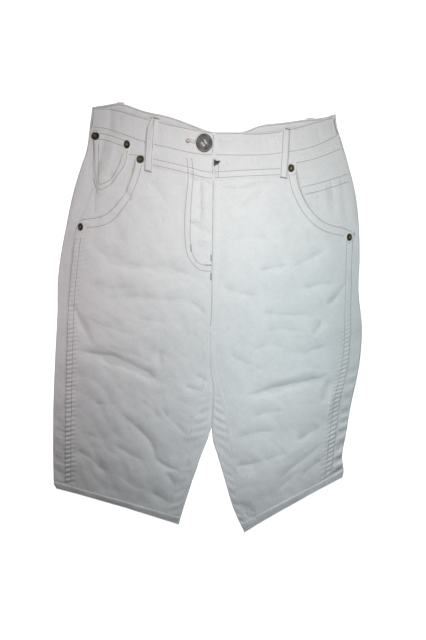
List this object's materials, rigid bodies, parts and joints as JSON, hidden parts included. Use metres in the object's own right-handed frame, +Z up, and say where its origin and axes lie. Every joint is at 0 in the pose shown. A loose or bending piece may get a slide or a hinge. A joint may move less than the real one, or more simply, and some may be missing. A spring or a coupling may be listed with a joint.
{
  "type": "denim bermuda shorts, laid flat",
  "caption": "Knee-length white denim bermuda shorts laid flat on their back, with scoop pockets, a coin pocket, belt loops, a button waistband and a fly zip whose pull is hinged.",
  "frame": {"origin": "on the floor under the middle of the laid-out shorts", "axes": "+Z up from the floor, +Y from the hems to the waist, +X to the wearer's left"},
  "size_m": [0.433, 0.6028, 0.0091],
  "materials": {
    "denim": "white stretch twill, washed",
    "button_horn": "dark horn-effect, dished",
    "rivet_bronze": "antique dark bronze",
    "zip_metal": "gunmetal",
    "zip_tape": "woven tape"
  },
  "bodies": {
    "shorts": {"back_panel_left": "denim", "back_panel_right": "denim", "belt_loop_back_left": "denim", "belt_loop_back_right": "denim", "belt_loop_front_left": "denim", "belt_loop_front_right": "denim", "button": "button_horn", "coin_pocket": "denim", "front_panel_left": "denim", "front_panel_right": "denim", "hem_left": "denim", "hem_right": "denim", "hip_band_left": "denim", "hip_facing_left": "denim", "hip_facing_right": "denim", "rivet_1": "rivet_bronze", "rivet_2": "rivet_bronze", "rivet_3": "rivet_bronze", "rivet_4": "rivet_bronze", "rivet_5": "rivet_bronze", "rivet_6": "rivet_bronze", "waistband_back": "denim", "waistband_left": "denim", "waistband_right": "denim", "yoke_left": "denim", "yoke_right": "denim", "zip_slider": "zip_metal", "zip_tape": "zip_tape"},
    "zip_pull": {"zip_pull": "zip_metal"}
  },
  "joints": [
    {"name": "pull_hinge", "type": "hinge", "parent": "shorts", "child": "zip_pull", "pos_m": [0.0092, 0.2166, 0.0063], "axis": [0, -1, 0], "range_deg": [0, 100]}
  ]
}
